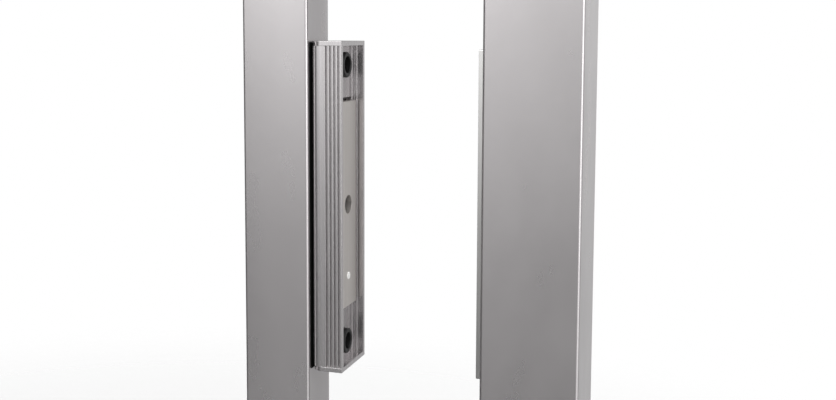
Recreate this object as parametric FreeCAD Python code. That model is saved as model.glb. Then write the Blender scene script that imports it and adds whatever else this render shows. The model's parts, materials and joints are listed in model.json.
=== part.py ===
"""Sliding security gate with a surface-mounted electromagnetic lock.

Two steel uprights face each other. The lock post (right) stands on a base plate and carries the
electromagnet let into its left wall. The gate upright (left) rolls along a floor track on a two-wheel
carriage and carries the ribbed aluminium housing with the armature plate that the magnet holds.

Frame: +Z up, +X from the gate upright to the lock post, -Y to the front.
Origin: centre of the lock post's base plate, on the floor. Millimetres.
"""
import FreeCAD, Part
import math
import os

V = FreeCAD.Vector
X_AXIS = V(1, 0, 0)
Y_AXIS = V(0, 1, 0)
Z_AXIS = V(0, 0, 1)

# ---- driving dimensions -------------------------------------------------------------------------

gate_height = 1000.0          # floor to the top of both caps
lock_height = 550.0           # floor to the middle of the lock

post_width = 80.0             # lock post, square tube
post_wall = 3.0
upright_width = 60.0          # gate upright, along X
upright_depth = 50.0          # gate upright, along Y
upright_wall = 3.0
tube_corner_radius = 2.5
gap_at_rest = 150.5           # between the two uprights as stored

base_margin = 30.0            # base plate beyond the post, on every side
base_thickness = 10.0
base_corner_radius = 5.0
anchor_edge = 17.5            # anchor hole to the edge of the base plate
anchor_hole_radius = 6.5

tube_cap_lip = 4.0            # cap plate over the end of a tube
tube_cap_plug = 18.0          # skirt inside the tube
tube_cap_edge_radius = 1.5
plug_wall = 2.5
fit_gap = 0.1                 # between a plug or tray and the pocket that it sits in

# lock housing on the gate upright
housing_length = 284.0        # along Z, over both end caps
housing_depth = 58.0          # along Y
housing_projection = 28.3     # along X, without the gasket
housing_setback = 3.5         # behind the front faces of the uprights
housing_floor = 6.8           # left under the armature and the collars
housing_corner_radius = 9.0
rim_wall = 4.0                # side wall at the mouth
step_wall = 5.5               # side wall below the step
pocket_wall = 7.5             # side wall beside the armature
step_depth = 5.6              # from the rim
mouth_depth = 9.6             # from the rim to the ledge round the pocket
seal_slot_width = 1.0         # slot for a lip seal, below the step
seal_slot_depth = 1.2
seal_slot_drop = 1.0          # step to slot
rib_pitch = 3.65
rib_first = 2.8               # rim to the middle of the first groove
rib_groove_width = 1.9
rib_groove_depth = 2.6
rib_grooves = 4
end_cap_thickness = 4.0
gasket_thickness = 1.2
gasket_inset = 1.0
gasket_corner_radius = 1.0

# fixing of the housing to the upright
collar_radius = 11.0
collar_end_gap = 5.5          # end cap to collar
collar_base = 3.0             # thickness under the head of the bolt
collar_bore_clearance = 0.75  # round the head of the bolt
collar_face_drop = 0.3        # below the face of the armature
fixing_radius = 4.0
fixing_head_rim = 2.5         # head beyond the shank
fixing_head_height = 8.0
insert_wall = 1.5
insert_flange_rim = 2.5       # flange beyond the sleeve
insert_flange = 1.0
insert_depth = 14.0
cap_screw_radius = 1.5
cap_screw_head_radius = 2.8
cap_screw_head_height = 1.6
cap_screw_length = 10.0

# armature and what holds it
armature_end_gap = 20.5       # collar to armature
armature_side_gap = 2.5       # side wall to armature
pocket_end_gap = 3.0          # end of the armature to the end of its pocket
armature_thickness = 11.0
armature_edge_radius = 1.0
armature_recess = 4.7         # rim of the housing to the face of the armature
armature_screw_radius = 4.0   # shank
armature_screw_head_rim = 2.5
armature_screw_head_height = 4.5
socket_radius = 3.2           # hexagon socket, corner to centre
socket_depth = 2.5
counterbore_clearance = 1.7   # round the head of the screw
counterbore_depth = 9.0
screw_clearance = 0.7
washer_width = 5.0            # rubber round the shank of the screw
washer_gap = 0.3              # left for the armature to tilt
guide_pin_radius = 2.5
guide_pin_spacing = 25.0      # guide pin to release pin
guide_pin_entry = 5.0         # into the back of the armature
guide_pin_clearance = 0.6
armature_tilt_degrees = 0.5

# spring-loaded release pin in the armature
release_end_distance = 27.0   # lower end of the armature to the pin
release_pin_radius = 3.2
release_pin_travel = 0.7
release_nose_radius = 0.8
release_flange_rim = 1.2      # flange beyond the pin
release_flange_thickness = 1.2
release_shoulder_depth = 3.0
release_stem_radius = 1.4
release_chamber_gap = 0.4     # round the flange
release_plug_thickness = 2.0
release_running_gap = 0.05
release_wire_radius = 0.4
release_spring_turns = 3.0
release_spring_steps = 16     # straight runs in one turn
release_spring_end_gap = 0.1

# electromagnet in the lock post
plate_end_clearance = 2.5     # face plate in the mouth of the housing, at each end
plate_side_clearance = 1.5
face_plate_thickness = 5.0
face_plate_edge_radius = 1.0
core_overhang = 3.0           # core beyond the armature, at each end
core_side_frame = 8.0         # face plate beside the core
core_depth = 25.0
core_slot = 4.5               # slot for the winding
core_back = 6.0
coil_gap = 0.4                # between the winding and the iron
coil_height = 13.4
case_wall = 2.0
case_end_room = 14.0          # core to the end of the case
mortise_margin = 1.0
face_screw_end = 9.5          # screw to the end of the face plate
face_screw_side = 8.0         # screw to the side of the face plate
face_screw_radius = 2.5
face_screw_head_rim = 2.3
face_screw_head_height = 2.8
face_screw_length = 16.0
face_socket_radius = 1.5
face_socket_depth = 2.0
post_insert_wall = 1.5
post_insert_flange_rim = 2.0
post_insert_flange = 1.0
post_insert_depth = 11.0
board_length = 70.0
board_width = 28.0
board_thickness = 1.6
board_standoff = 4.0
board_standoff_radius = 2.0
terminal_length = 24.0
terminal_width = 10.0
terminal_height = 9.0
terminal_ways = 4
terminal_hole_radius = 1.4
sensor_radius = 4.0
sensor_distance = 10.0        # end of the core to the sensor
grommet_height = 120.0        # floor to the cable entry in the back of the post
grommet_bore_radius = 5.0
grommet_wall = 3.0
grommet_flange_rim = 3.0
grommet_flange = 2.0

# floor track, carriage and rollers
clear_opening = 600.0         # passage width with the gate fully open
closed_gap = 1.6              # magnet to armature at the closed stop
track_width = 64.0
track_base = 4.0
rail_width = 10.0
rail_height = 12.0
track_hole_radius = 3.5
track_hole_inset = 40.0
track_hole_spacing = 44.0
stop_thickness = 8.0
stop_height = 60.0
buffer_radius = 10.0
buffer_length = 12.0
buffer_lip = 2.0
roller_radius = 30.0
roller_width = 24.0
groove_depth = 6.5
groove_side_gap = 0.4
roll_gap = 0.3                # drawn between the rail and the bottom of the groove
roller_edge_radius = 1.5
axle_radius = 5.0
bush_wall = 3.0
bush_running_gap = 0.05
axle_head_rim = 3.5           # head and nut beyond the axle, at the corners
axle_head_height = 6.0
axle_nut_height = 8.0
cheek_thickness = 4.0
cheek_gap = 3.0               # roller to cheek, filled by a spacer
spacer_wall = 3.0
spacer_gap = 0.2
carriage_length = 230.0
carriage_top = 5.0
cheek_below_axle = 14.0       # axle to the lower edge of the cheeks
roller_top_gap = 5.0
roller_inset = 42.0
foot_reach = 50.0             # foot beyond the upright
foot_thickness = 6.0
foot_screw_radius = 4.0
foot_screw_head_rim = 2.5
foot_screw_head_height = 5.0
foot_screw_inset = 12.0
leaf_hole_radius = 5.5
leaf_hole_height = 150.0      # from the floor, and the same from the top

# for finding edges
same_place = 1e-6
nearly_parallel = 0.999

# ---- places worked out from the driving dimensions ----------------------------------------------

base_size = post_width + 2 * base_margin
anchor_spacing = base_size - 2 * anchor_edge
front_y = -post_width / 2
post_face_x = -post_width / 2
upright_face_x = post_face_x - gap_at_rest
upright_x = upright_face_x - upright_width / 2
upright_y = front_y + upright_depth / 2
lock_y = front_y + housing_setback + housing_depth / 2

housing_back_x = upright_face_x + gasket_thickness
housing_floor_x = housing_back_x + housing_floor
rim_x = housing_back_x + housing_projection
armature_face_x = rim_x - armature_recess
armature_back_x = armature_face_x - armature_thickness
face_plate_x = post_face_x - face_plate_thickness
extrusion_half = housing_length / 2 - end_cap_thickness

fixing_head_radius = fixing_radius + fixing_head_rim
insert_radius = fixing_radius + insert_wall
insert_flange_radius = insert_radius + insert_flange_rim
collar_offset = extrusion_half - collar_end_gap - collar_radius
armature_length = 2 * (collar_offset - collar_radius - armature_end_gap)
armature_width = housing_depth - 2 * (pocket_wall + armature_side_gap)
pocket_half = armature_length / 2 + pocket_end_gap
armature_screw_head_radius = armature_screw_radius + armature_screw_head_rim
counterbore_radius = armature_screw_head_radius + counterbore_clearance
release_offset = release_end_distance - armature_length / 2
release_flange_radius = release_pin_radius + release_flange_rim
release_chamber_radius = release_flange_radius + release_chamber_gap
guide_pin_offset = -release_offset - guide_pin_spacing

face_plate_length = 2 * (extrusion_half - plate_end_clearance)
face_plate_width = housing_depth - 2 * (rim_wall + plate_side_clearance)
core_length = armature_length + 2 * core_overhang
core_width = face_plate_width - 2 * core_side_frame
core_leg = (core_width - 2 * core_slot) / 4
core_middle_leg = 2 * core_leg
slot_middle = (core_middle_leg + core_slot) / 2
case_length = core_length + 2 * case_end_room
case_back_x = face_plate_x + core_depth + case_wall
face_screw_dz = face_plate_length / 2 - face_screw_end
face_screw_dy = face_plate_width / 2 - face_screw_side
face_screw_head_radius = face_screw_radius + face_screw_head_rim
post_insert_radius = face_screw_radius + post_insert_wall
post_insert_flange_radius = post_insert_radius + post_insert_flange_rim
sensor_offset = core_length / 2 + sensor_distance
board_x = case_back_x + board_standoff

tilt_reach = armature_length / 2 * math.sin(math.radians(armature_tilt_degrees))
travel_to_close = face_plate_x - armature_face_x - closed_gap
travel_to_open = clear_opening - (gap_at_rest - travel_to_close)

rail_top = track_base + rail_height
groove_radius = roller_radius - groove_depth
axle_z = rail_top + groove_radius + roll_gap
carriage_top_z = axle_z + roller_radius + roller_top_gap + carriage_top
foot_top_z = carriage_top_z + foot_thickness
carriage_width = roller_width + 2 * cheek_gap + 2 * cheek_thickness
foot_length = upright_width + foot_reach
axle_head_radius = axle_radius + axle_head_rim
carriage_right_x = upright_face_x
carriage_left_x = carriage_right_x - carriage_length
track_right_x = -base_size / 2
track_left_x = carriage_left_x - travel_to_open - buffer_length - stop_thickness
tube_top_z = gate_height - tube_cap_lip


# ---- shape helpers -------------------------------------------------------------------------------

def block(x0, x1, y0, y1, z0, z1):
    """Box between two corners."""
    return Part.makeBox(x1 - x0, y1 - y0, z1 - z0, V(x0, y0, z0))


def rod(radius, start, length, axis=X_AXIS):
    """Cylinder from a start point along an axis."""
    return Part.makeCylinder(radius, length, start, axis)


def hexagon(radius, start, length, axis=X_AXIS):
    """Hexagonal prism whose corners lie on the radius."""
    side = X_AXIS if abs(axis.z) > nearly_parallel else Z_AXIS
    other = axis.cross(side)
    corners = []
    for step in range(7):
        angle = math.radians(60 * step)
        corners.append(start + side * (radius * math.cos(angle)) + other * (radius * math.sin(angle)))
    return Part.Face(Part.makePolygon(corners)).extrude(axis * length)


def ring(outer, inner, start, length, axis=X_AXIS):
    """Plain tube or washer."""
    return rod(outer, start, length, axis).cut(rod(inner, start, length, axis))


def edges_along(shape, direction):
    """Straight edges that run along a direction."""
    found = []
    for edge in shape.Edges:
        if edge.Curve.TypeId != "Part::GeomLine":
            continue
        if abs(edge.Curve.Direction.dot(direction)) > nearly_parallel:
            found.append(edge)
    return found


def edges_at_z(shape, height):
    """Edges that lie flat at one height."""
    found = []
    for edge in shape.Edges:
        box = edge.BoundBox
        if abs(box.ZMin - height) < same_place and abs(box.ZMax - height) < same_place:
            found.append(edge)
    return found


def edges_from_x(edges, x):
    """Those of the edges whose lowest X is at one place."""
    return [edge for edge in edges if abs(edge.BoundBox.XMin - x) < same_place]


def rounded(shape, radius, direction):
    """Round the edges along one direction."""
    return shape.makeFillet(radius, edges_along(shape, direction))


def rounded_block(x0, x1, y0, y1, z0, z1, radius, direction=Z_AXIS):
    """Box with four rounded edges."""
    return rounded(block(x0, x1, y0, y1, z0, z1), radius, direction)


def square_tube(cx, cy, width, depth, wall, z0, z1):
    """Rectangular hollow section standing on end."""
    outer = rounded_block(cx - width / 2, cx + width / 2, cy - depth / 2, cy + depth / 2, z0, z1,
                          tube_corner_radius)
    inner = block(cx - width / 2 + wall, cx + width / 2 - wall, cy - depth / 2 + wall,
                  cy + depth / 2 - wall, z0, z1)
    return outer.cut(inner)


def tube_cap(cx, cy, width, depth, wall):
    """Cap with a hollow plug for the top of a tube."""
    lid = rounded_block(cx - width / 2, cx + width / 2, cy - depth / 2, cy + depth / 2,
                        tube_top_z, gate_height, tube_corner_radius)
    lid = lid.makeFillet(tube_cap_edge_radius, edges_at_z(lid, gate_height))
    half_x = width / 2 - wall - fit_gap
    half_y = depth / 2 - wall - fit_gap
    bottom = tube_top_z - tube_cap_plug
    plug = block(cx - half_x, cx + half_x, cy - half_y, cy + half_y, bottom, tube_top_z)
    hollow = block(cx - half_x + plug_wall, cx + half_x - plug_wall, cy - half_y + plug_wall,
                   cy + half_y - plug_wall, bottom, tube_top_z)
    return lid.fuse(plug.cut(hollow)).removeSplitter()


def at_lock(x, dy=0.0, dz=0.0):
    """Point measured from the centre line of the lock."""
    return V(x, lock_y + dy, lock_height + dz)


def lock_block(x0, x1, width, half_height):
    """Box centred on the centre line of the lock."""
    return block(x0, x1, lock_y - width / 2, lock_y + width / 2,
                 lock_height - half_height, lock_height + half_height)


def pair(offset):
    """Offsets above and below the middle."""
    return (-offset, offset)


def group(solids):
    """Separate identical solids kept in one node."""
    return Part.makeCompound(solids)


parts = {}

# ---- lock post -----------------------------------------------------------------------------------


def case_outline(x1, margin, half_length):
    """Space of the magnet case inside the post."""
    return lock_block(post_face_x, x1, core_width + 2 * case_wall + 2 * margin, half_length + margin)


def face_screw_places(x):
    """Axes of the four face plate screws."""
    return [at_lock(x, dy, dz) for dz in pair(face_screw_dz) for dy in pair(face_screw_dy)]


def make_lock_post():
    """Tube with the mortise, four insert holes and the cable entry."""
    tube = square_tube(0, 0, post_width, post_width, post_wall, base_thickness, tube_top_z)
    tube = tube.cut(case_outline(post_face_x + 2 * post_wall, mortise_margin, case_length / 2))
    for screw in face_screw_places(post_face_x):
        tube = tube.cut(rod(post_insert_radius, screw, 2 * post_wall))
    entry = V(0, post_width / 2 - 2 * post_wall, grommet_height)
    return tube.cut(rod(grommet_bore_radius + grommet_wall, entry, 3 * post_wall, Y_AXIS))


def make_base_plate():
    """Square plate with four anchor holes."""
    half = base_size / 2
    plate = rounded_block(-half, half, -half, half, 0, base_thickness, base_corner_radius)
    for x in pair(anchor_spacing / 2):
        for y in pair(anchor_spacing / 2):
            plate = plate.cut(rod(anchor_hole_radius, V(x, y, 0), base_thickness, Z_AXIS))
    return plate


def make_grommet():
    """Rubber grommet in the back wall."""
    inside = V(0, post_width / 2 - post_wall - grommet_flange, grommet_height)
    outside = V(0, post_width / 2, grommet_height)
    length = post_wall + 2 * grommet_flange
    neck_radius = grommet_bore_radius + grommet_wall
    flange_radius = neck_radius + grommet_flange_rim
    body = rod(neck_radius, inside, length, Y_AXIS)
    body = body.fuse(rod(flange_radius, inside, grommet_flange, Y_AXIS))
    body = body.fuse(rod(flange_radius, outside, grommet_flange, Y_AXIS))
    bore = rod(grommet_bore_radius, inside, length, Y_AXIS)
    return body.cut(bore).removeSplitter()


parts["lock_post"] = make_lock_post()
parts["post_top_cap"] = tube_cap(0, 0, post_width, post_width, post_wall)
parts["post_base_plate"] = make_base_plate()
parts["cable_grommet"] = make_grommet()

# ---- electromagnet -------------------------------------------------------------------------------


def make_face_plate():
    """Stainless frame round the pole faces, with four countersunk holes."""
    plate = lock_block(face_plate_x, post_face_x, face_plate_width, face_plate_length / 2)
    plate = rounded(plate, face_plate_edge_radius, X_AXIS)
    plate = plate.cut(lock_block(face_plate_x, post_face_x, core_width + 2 * fit_gap,
                                 core_length / 2 + fit_gap))
    for screw in face_screw_places(face_plate_x):
        plate = plate.cut(rod(face_screw_radius + fit_gap, screw, face_plate_thickness))
        plate = plate.cut(rod(face_screw_head_radius + fit_gap, screw, face_screw_head_height + fit_gap))
    return plate.cut(rod(sensor_radius, at_lock(face_plate_x, 0, sensor_offset), face_plate_thickness))


def slot_blocks(x0, x1):
    """The two slots of the core, over its whole length."""
    slots = []
    for dy in pair(slot_middle):
        slots.append(block(x0, x1, lock_y + dy - core_slot / 2, lock_y + dy + core_slot / 2,
                           lock_height - core_length / 2, lock_height + core_length / 2))
    return slots


def make_core():
    """E-section iron core with its three poles in the face plate."""
    back_x = face_plate_x + core_depth
    core = lock_block(face_plate_x, back_x, core_width, core_length / 2)
    for slot in slot_blocks(face_plate_x, back_x - core_back):
        core = core.cut(slot)
    return core


def coil_loop(x0, x1, margin):
    """Racetrack round the middle leg."""
    inner = core_middle_leg + 2 * margin
    outer = core_middle_leg + 2 * core_slot - 2 * margin
    loop = lock_block(x0, x1, outer, core_length / 2 + core_slot - margin)
    loop = rounded(loop, core_slot - 2 * margin, X_AXIS)
    return loop.cut(lock_block(x0, x1, inner, core_length / 2 + margin))


def make_coil():
    """Copper winding in the two slots of the core."""
    back_x = face_plate_x + core_depth - core_back
    return coil_loop(back_x - coil_height - coil_gap, back_x - coil_gap, coil_gap)


def make_resin():
    """Potting resin in the slots, over the winding."""
    top_x = face_plate_x + core_depth - core_back - coil_height - coil_gap
    return group(slot_blocks(face_plate_x + coil_gap, top_x))


def make_case():
    """Aluminium tray that holds the core and the winding inside the post."""
    outer = lock_block(post_face_x, case_back_x, core_width + 2 * case_wall, case_length / 2)
    inner = lock_block(post_face_x, face_plate_x + core_depth, core_width,
                       core_length / 2 + core_slot + case_wall)
    return outer.cut(inner)


def make_face_screws():
    """Countersunk screws of the face plate."""
    screws = []
    for place in face_screw_places(face_plate_x):
        head = Part.makeCone(face_screw_head_radius, face_screw_radius, face_screw_head_height, place,
                             X_AXIS)
        socket = hexagon(face_socket_radius, place, face_socket_depth)
        screw = head.fuse(rod(face_screw_radius, place, face_screw_length))
        screws.append(screw.cut(socket).removeSplitter())
    return group(screws)


def make_post_inserts():
    """Rivet nuts in the wall of the post."""
    inserts = []
    for start in face_screw_places(post_face_x):
        sleeve = rod(post_insert_radius, start, post_insert_depth)
        bulge = rod(post_insert_flange_radius, start + X_AXIS * post_wall, post_insert_flange)
        sleeve = sleeve.fuse(bulge).removeSplitter()
        inserts.append(sleeve.cut(rod(face_screw_radius, start, post_insert_depth)))
    return group(inserts)


def make_board():
    """Control board behind the case."""
    return lock_block(board_x, board_x + board_thickness, board_width, board_length / 2)


def make_standoffs():
    """Four spacers between the case and the board."""
    inset = 2 * board_standoff_radius
    spacers = []
    for dz in pair(board_length / 2 - inset):
        for dy in pair(board_width / 2 - inset):
            spacers.append(rod(board_standoff_radius, at_lock(case_back_x, dy, dz), board_standoff))
    return group(spacers)


def make_terminal():
    """Terminal block with screw holes, for the supply and the signal."""
    face = board_x + board_thickness
    body = block(face, face + terminal_height, lock_y - terminal_width / 2, lock_y + terminal_width / 2,
                 lock_height - terminal_length / 2, lock_height + terminal_length / 2)
    pitch = terminal_length / terminal_ways
    for way in range(terminal_ways):
        dz = (way + 0.5) * pitch - terminal_length / 2
        hole_start = at_lock(face + terminal_height / 2, 0, dz)
        body = body.cut(rod(terminal_hole_radius, hole_start, terminal_height))
    return body


def make_sensor():
    """Bond sensor set in the face plate above the core."""
    return rod(sensor_radius, at_lock(face_plate_x, 0, sensor_offset), face_plate_thickness)


parts["magnet_face_plate"] = make_face_plate()
parts["magnet_core"] = make_core()
parts["magnet_coil"] = make_coil()
parts["magnet_resin"] = make_resin()
parts["magnet_case"] = make_case()
parts["face_plate_screws"] = make_face_screws()
parts["post_rivet_nuts"] = make_post_inserts()
parts["control_board"] = make_board()
parts["board_spacers"] = make_standoffs()
parts["terminal_block"] = make_terminal()
parts["bond_sensor"] = make_sensor()

# ---- gate upright and carriage -------------------------------------------------------------------


def fixing_places(x):
    """Centres of the two housing fixings."""
    return [at_lock(x, 0, dz) for dz in pair(collar_offset)]


def make_gate_upright():
    """Tube with the insert holes of the lock and the bolt holes for the leaf."""
    tube = square_tube(upright_x, upright_y, upright_width, upright_depth, upright_wall,
                       foot_top_z, tube_top_z)
    for place in fixing_places(upright_face_x - 2 * upright_wall):
        tube = tube.cut(rod(insert_radius, place, 3 * upright_wall))
    left = upright_face_x - upright_width
    for height in (leaf_hole_height, gate_height - leaf_hole_height):
        tube = tube.cut(rod(leaf_hole_radius, V(left, upright_y, height), 2 * upright_wall))
    return tube


def roller_places():
    """X of the two axles."""
    return (carriage_left_x + roller_inset, carriage_right_x - roller_inset)


def foot_screw_places():
    """Where the foot plate is bolted to the carriage."""
    outer_left = upright_face_x - foot_length + foot_screw_inset
    outer_right = upright_face_x - upright_width - foot_screw_inset
    return [V(x, upright_y, carriage_top_z - carriage_top) for x in (outer_left, outer_right)]


def make_carriage():
    """Bent steel channel, open below, with two axle holes."""
    y0 = upright_y - carriage_width / 2
    y1 = upright_y + carriage_width / 2
    bottom = axle_z - cheek_below_axle
    body = block(carriage_left_x, carriage_right_x, y0, y1, bottom, carriage_top_z)
    bends = [edge for edge in edges_at_z(body, carriage_top_z) if edge.Length > carriage_width]
    body = body.makeFillet(tube_corner_radius, bends)
    body = body.cut(block(carriage_left_x, carriage_right_x, y0 + cheek_thickness, y1 - cheek_thickness,
                          bottom, carriage_top_z - carriage_top))
    for x in roller_places():
        body = body.cut(rod(axle_radius, V(x, y0, axle_z), carriage_width, Y_AXIS))
    for place in foot_screw_places():
        body = body.cut(rod(foot_screw_radius, place, carriage_top, Z_AXIS))
    return body


def make_foot():
    """Plate welded under the upright and bolted to the carriage."""
    plate = block(upright_face_x - foot_length, upright_face_x, upright_y - carriage_width / 2,
                  upright_y + carriage_width / 2, carriage_top_z, foot_top_z)
    for place in foot_screw_places():
        hole = V(place.x, place.y, carriage_top_z)
        plate = plate.cut(rod(foot_screw_radius, hole, foot_thickness, Z_AXIS))
    return plate


def make_foot_screws():
    """Cap screws through the foot and the top of the carriage."""
    screws = []
    for place in foot_screw_places():
        length = carriage_top + foot_thickness
        start = V(place.x, place.y, foot_top_z)
        head = rod(foot_screw_radius + foot_screw_head_rim, start, foot_screw_head_height, Z_AXIS)
        head = head.cut(hexagon(socket_radius, start + Z_AXIS * (foot_screw_head_height / 2),
                                foot_screw_head_height, Z_AXIS))
        screws.append(head.fuse(rod(foot_screw_radius, place, length, Z_AXIS)).removeSplitter())
    return group(screws)


def make_axles():
    """Axle bolts with hexagon heads at the front."""
    bolts = []
    for x in roller_places():
        start = V(x, upright_y - carriage_width / 2, axle_z)
        head = hexagon(axle_head_radius, start - Y_AXIS * axle_head_height, axle_head_height, Y_AXIS)
        shank = rod(axle_radius, start, carriage_width + axle_nut_height, Y_AXIS)
        bolts.append(head.fuse(shank).removeSplitter())
    return group(bolts)


def make_axle_nuts():
    """Lock nuts at the back of the carriage."""
    nuts = []
    for x in roller_places():
        start = V(x, upright_y + carriage_width / 2, axle_z)
        nut = hexagon(axle_head_radius, start, axle_nut_height, Y_AXIS)
        nuts.append(nut.cut(rod(axle_radius, start, axle_nut_height, Y_AXIS)))
    return group(nuts)


def make_axle_spacers():
    """Rings that keep the rollers off the cheeks."""
    spacers = []
    for x in roller_places():
        for side in (-1, 1):
            inner = upright_y + side * (roller_width / 2 + spacer_gap)
            start = V(x, inner if side > 0 else inner - cheek_gap + spacer_gap, axle_z)
            spacers.append(ring(axle_radius + spacer_wall, axle_radius, start, cheek_gap - spacer_gap,
                                Y_AXIS))
    return group(spacers)


def make_roller(x):
    """Grooved wheel that straddles the rail."""
    start = V(x, upright_y - roller_width / 2, axle_z)
    wheel = rod(roller_radius, start, roller_width, Y_AXIS)
    rims = [e for e in wheel.Edges if e.Curve.TypeId == "Part::GeomCircle"]
    wheel = wheel.makeFillet(roller_edge_radius, rims)
    half_groove = rail_width / 2 + groove_side_gap
    groove_start = V(x, upright_y - half_groove, axle_z)
    wheel = wheel.cut(ring(roller_radius + roll_gap, groove_radius, groove_start, 2 * half_groove, Y_AXIS))
    bore_radius = axle_radius + bush_running_gap + bush_wall
    return wheel.cut(rod(bore_radius, start, roller_width, Y_AXIS))


def make_bush(x):
    """Bronze bush pressed into a roller."""
    start = V(x, upright_y - roller_width / 2, axle_z)
    inner = axle_radius + bush_running_gap
    return ring(inner + bush_wall, inner, start, roller_width, Y_AXIS)


parts["gate_upright"] = make_gate_upright()
parts["upright_top_cap"] = tube_cap(upright_x, upright_y, upright_width, upright_depth, upright_wall)
parts["upright_foot"] = make_foot()
parts["foot_screws"] = make_foot_screws()
parts["carriage_frame"] = make_carriage()
parts["roller_axles"] = make_axles()
parts["axle_nuts"] = make_axle_nuts()
parts["axle_spacers"] = make_axle_spacers()
for name, x in zip(("rear_roller", "front_roller"), roller_places()):
    parts[name] = make_roller(x)
    parts[name + "_bush"] = make_bush(x)

# ---- floor track ---------------------------------------------------------------------------------


def track_hole_places():
    """Four screw holes beside the rail."""
    ends = (track_left_x + track_hole_inset, track_right_x - track_hole_inset)
    return [V(x, upright_y + dy, 0) for x in ends for dy in pair(track_hole_spacing / 2)]


def make_track():
    """Floor strip with a square rail along its middle."""
    strip = block(track_left_x, track_right_x, upright_y - track_width / 2, upright_y + track_width / 2,
                  0, track_base)
    rail = block(track_left_x + stop_thickness, track_right_x, upright_y - rail_width / 2,
                 upright_y + rail_width / 2, track_base, rail_top)
    track = strip.fuse(rail).removeSplitter()
    for place in track_hole_places():
        track = track.cut(rod(track_hole_radius, place, track_base, Z_AXIS))
    return track


def make_end_stop():
    """Upright plate at the open end of the track."""
    return block(track_left_x, track_left_x + stop_thickness, upright_y - track_width / 2,
                 upright_y + track_width / 2, track_base, track_base + stop_height)


def make_buffer():
    """Rubber buffer that the carriage meets when the gate is open."""
    start = V(track_left_x + stop_thickness, upright_y, track_base + stop_height - 2 * buffer_radius)
    return rod(buffer_radius, start, buffer_length - buffer_lip)


parts["floor_track"] = make_track()
parts["track_end_stop"] = make_end_stop()
parts["stop_buffer"] = make_buffer()

# ---- lock housing --------------------------------------------------------------------------------


def housing_outline(z0, z1):
    """Outer shape of the housing with its two rounded back corners."""
    body = block(housing_back_x, rim_x, lock_y - housing_depth / 2, lock_y + housing_depth / 2, z0, z1)
    return body.makeFillet(housing_corner_radius, edges_from_x(edges_along(body, Z_AXIS), housing_back_x))


def rib_groove_places():
    """X of each groove, counted from the rim."""
    return [rim_x - rib_first - rib_pitch * step for step in range(rib_grooves)]


def make_housing():
    """Extrusion with ribbed sides, a stepped mouth, and a pocket for the armature."""
    z0 = lock_height - extrusion_half
    z1 = lock_height + extrusion_half
    body = housing_outline(z0, z1)
    stages = (
        (housing_floor_x, pocket_wall, pocket_half),
        (rim_x - mouth_depth, step_wall, extrusion_half),
        (rim_x - step_depth, rim_wall, extrusion_half),
    )
    for start_x, wall, half_length in stages:
        body = body.cut(lock_block(start_x, rim_x, housing_depth - 2 * wall, half_length))
    slot_x = rim_x - step_depth - seal_slot_drop
    slot_width = housing_depth - 2 * (step_wall - seal_slot_depth)
    body = body.cut(lock_block(slot_x - seal_slot_width, slot_x, slot_width, extrusion_half))
    for x in rib_groove_places():
        for side in (-1, 1):
            edge = lock_y + side * housing_depth / 2
            y0 = edge - rib_groove_depth
            y1 = edge + rib_groove_depth
            body = body.cut(block(x - rib_groove_width / 2, x + rib_groove_width / 2, y0, y1, z0, z1))
    for place in fixing_places(housing_back_x):
        body = body.cut(rod(fixing_radius + fit_gap, place, housing_floor))
    for place in fixing_places(housing_floor_x):
        body = body.cut(rod(collar_radius + fit_gap, place, housing_projection))
    body = body.cut(rod(armature_screw_radius, at_lock(housing_back_x), housing_floor))
    for dz in pair(guide_pin_offset):
        body = body.cut(rod(guide_pin_radius, at_lock(housing_back_x, 0, dz), housing_floor))
    for place in cap_screw_places(lock_height + extrusion_half - cap_screw_length):
        body = body.cut(rod(cap_screw_radius, place, cap_screw_length, Z_AXIS))
    for place in cap_screw_places(lock_height - extrusion_half):
        body = body.cut(rod(cap_screw_radius, place, cap_screw_length, Z_AXIS))
    return body


def cap_screw_places(z):
    """Two screws per end cap, in the thick roots of the side walls."""
    x = housing_floor_x + cap_screw_head_radius / 2
    return [V(x, lock_y + side * (housing_depth - pocket_wall) / 2, z) for side in (-1, 1)]


def make_end_cap(upper):
    """Flat end plate with two countersunk screw holes."""
    if upper:
        z0 = lock_height + extrusion_half
        outer_z = z0 + end_cap_thickness
        inward = V(0, 0, -1)
    else:
        z0 = lock_height - extrusion_half - end_cap_thickness
        outer_z = z0
        inward = Z_AXIS
    cap = housing_outline(z0, z0 + end_cap_thickness)
    for place in cap_screw_places(outer_z):
        cap = cap.cut(rod(cap_screw_radius, place, end_cap_thickness, inward))
        cap = cap.cut(rod(cap_screw_head_radius, place, cap_screw_head_height, inward))
    return cap


def make_cap_screws():
    """Pan-head screws, sunk in the end caps."""
    screws = []
    for outer_z, inward in ((lock_height + housing_length / 2, V(0, 0, -1)),
                            (lock_height - housing_length / 2, Z_AXIS)):
        for place in cap_screw_places(outer_z):
            head = rod(cap_screw_head_radius, place, cap_screw_head_height, inward)
            head = head.cut(hexagon(cap_screw_radius, place, cap_screw_head_height / 2, inward))
            shank_start = place + inward * cap_screw_head_height
            shank_length = end_cap_thickness + cap_screw_length - cap_screw_head_height
            shank = rod(cap_screw_radius, shank_start, shank_length, inward)
            screws.append(head.fuse(shank).removeSplitter())
    return group(screws)


def make_gasket():
    """Rubber sheet between the housing and the upright."""
    sheet = block(upright_face_x, housing_back_x,
                  lock_y - housing_depth / 2 + gasket_inset,
                  lock_y + housing_depth / 2 - gasket_inset,
                  lock_height - housing_length / 2 + gasket_inset,
                  lock_height + housing_length / 2 - gasket_inset)
    sheet = rounded(sheet, gasket_corner_radius, X_AXIS)
    for place in fixing_places(upright_face_x):
        sheet = sheet.cut(rod(insert_flange_radius + fit_gap, place, gasket_thickness))
    return sheet


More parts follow.
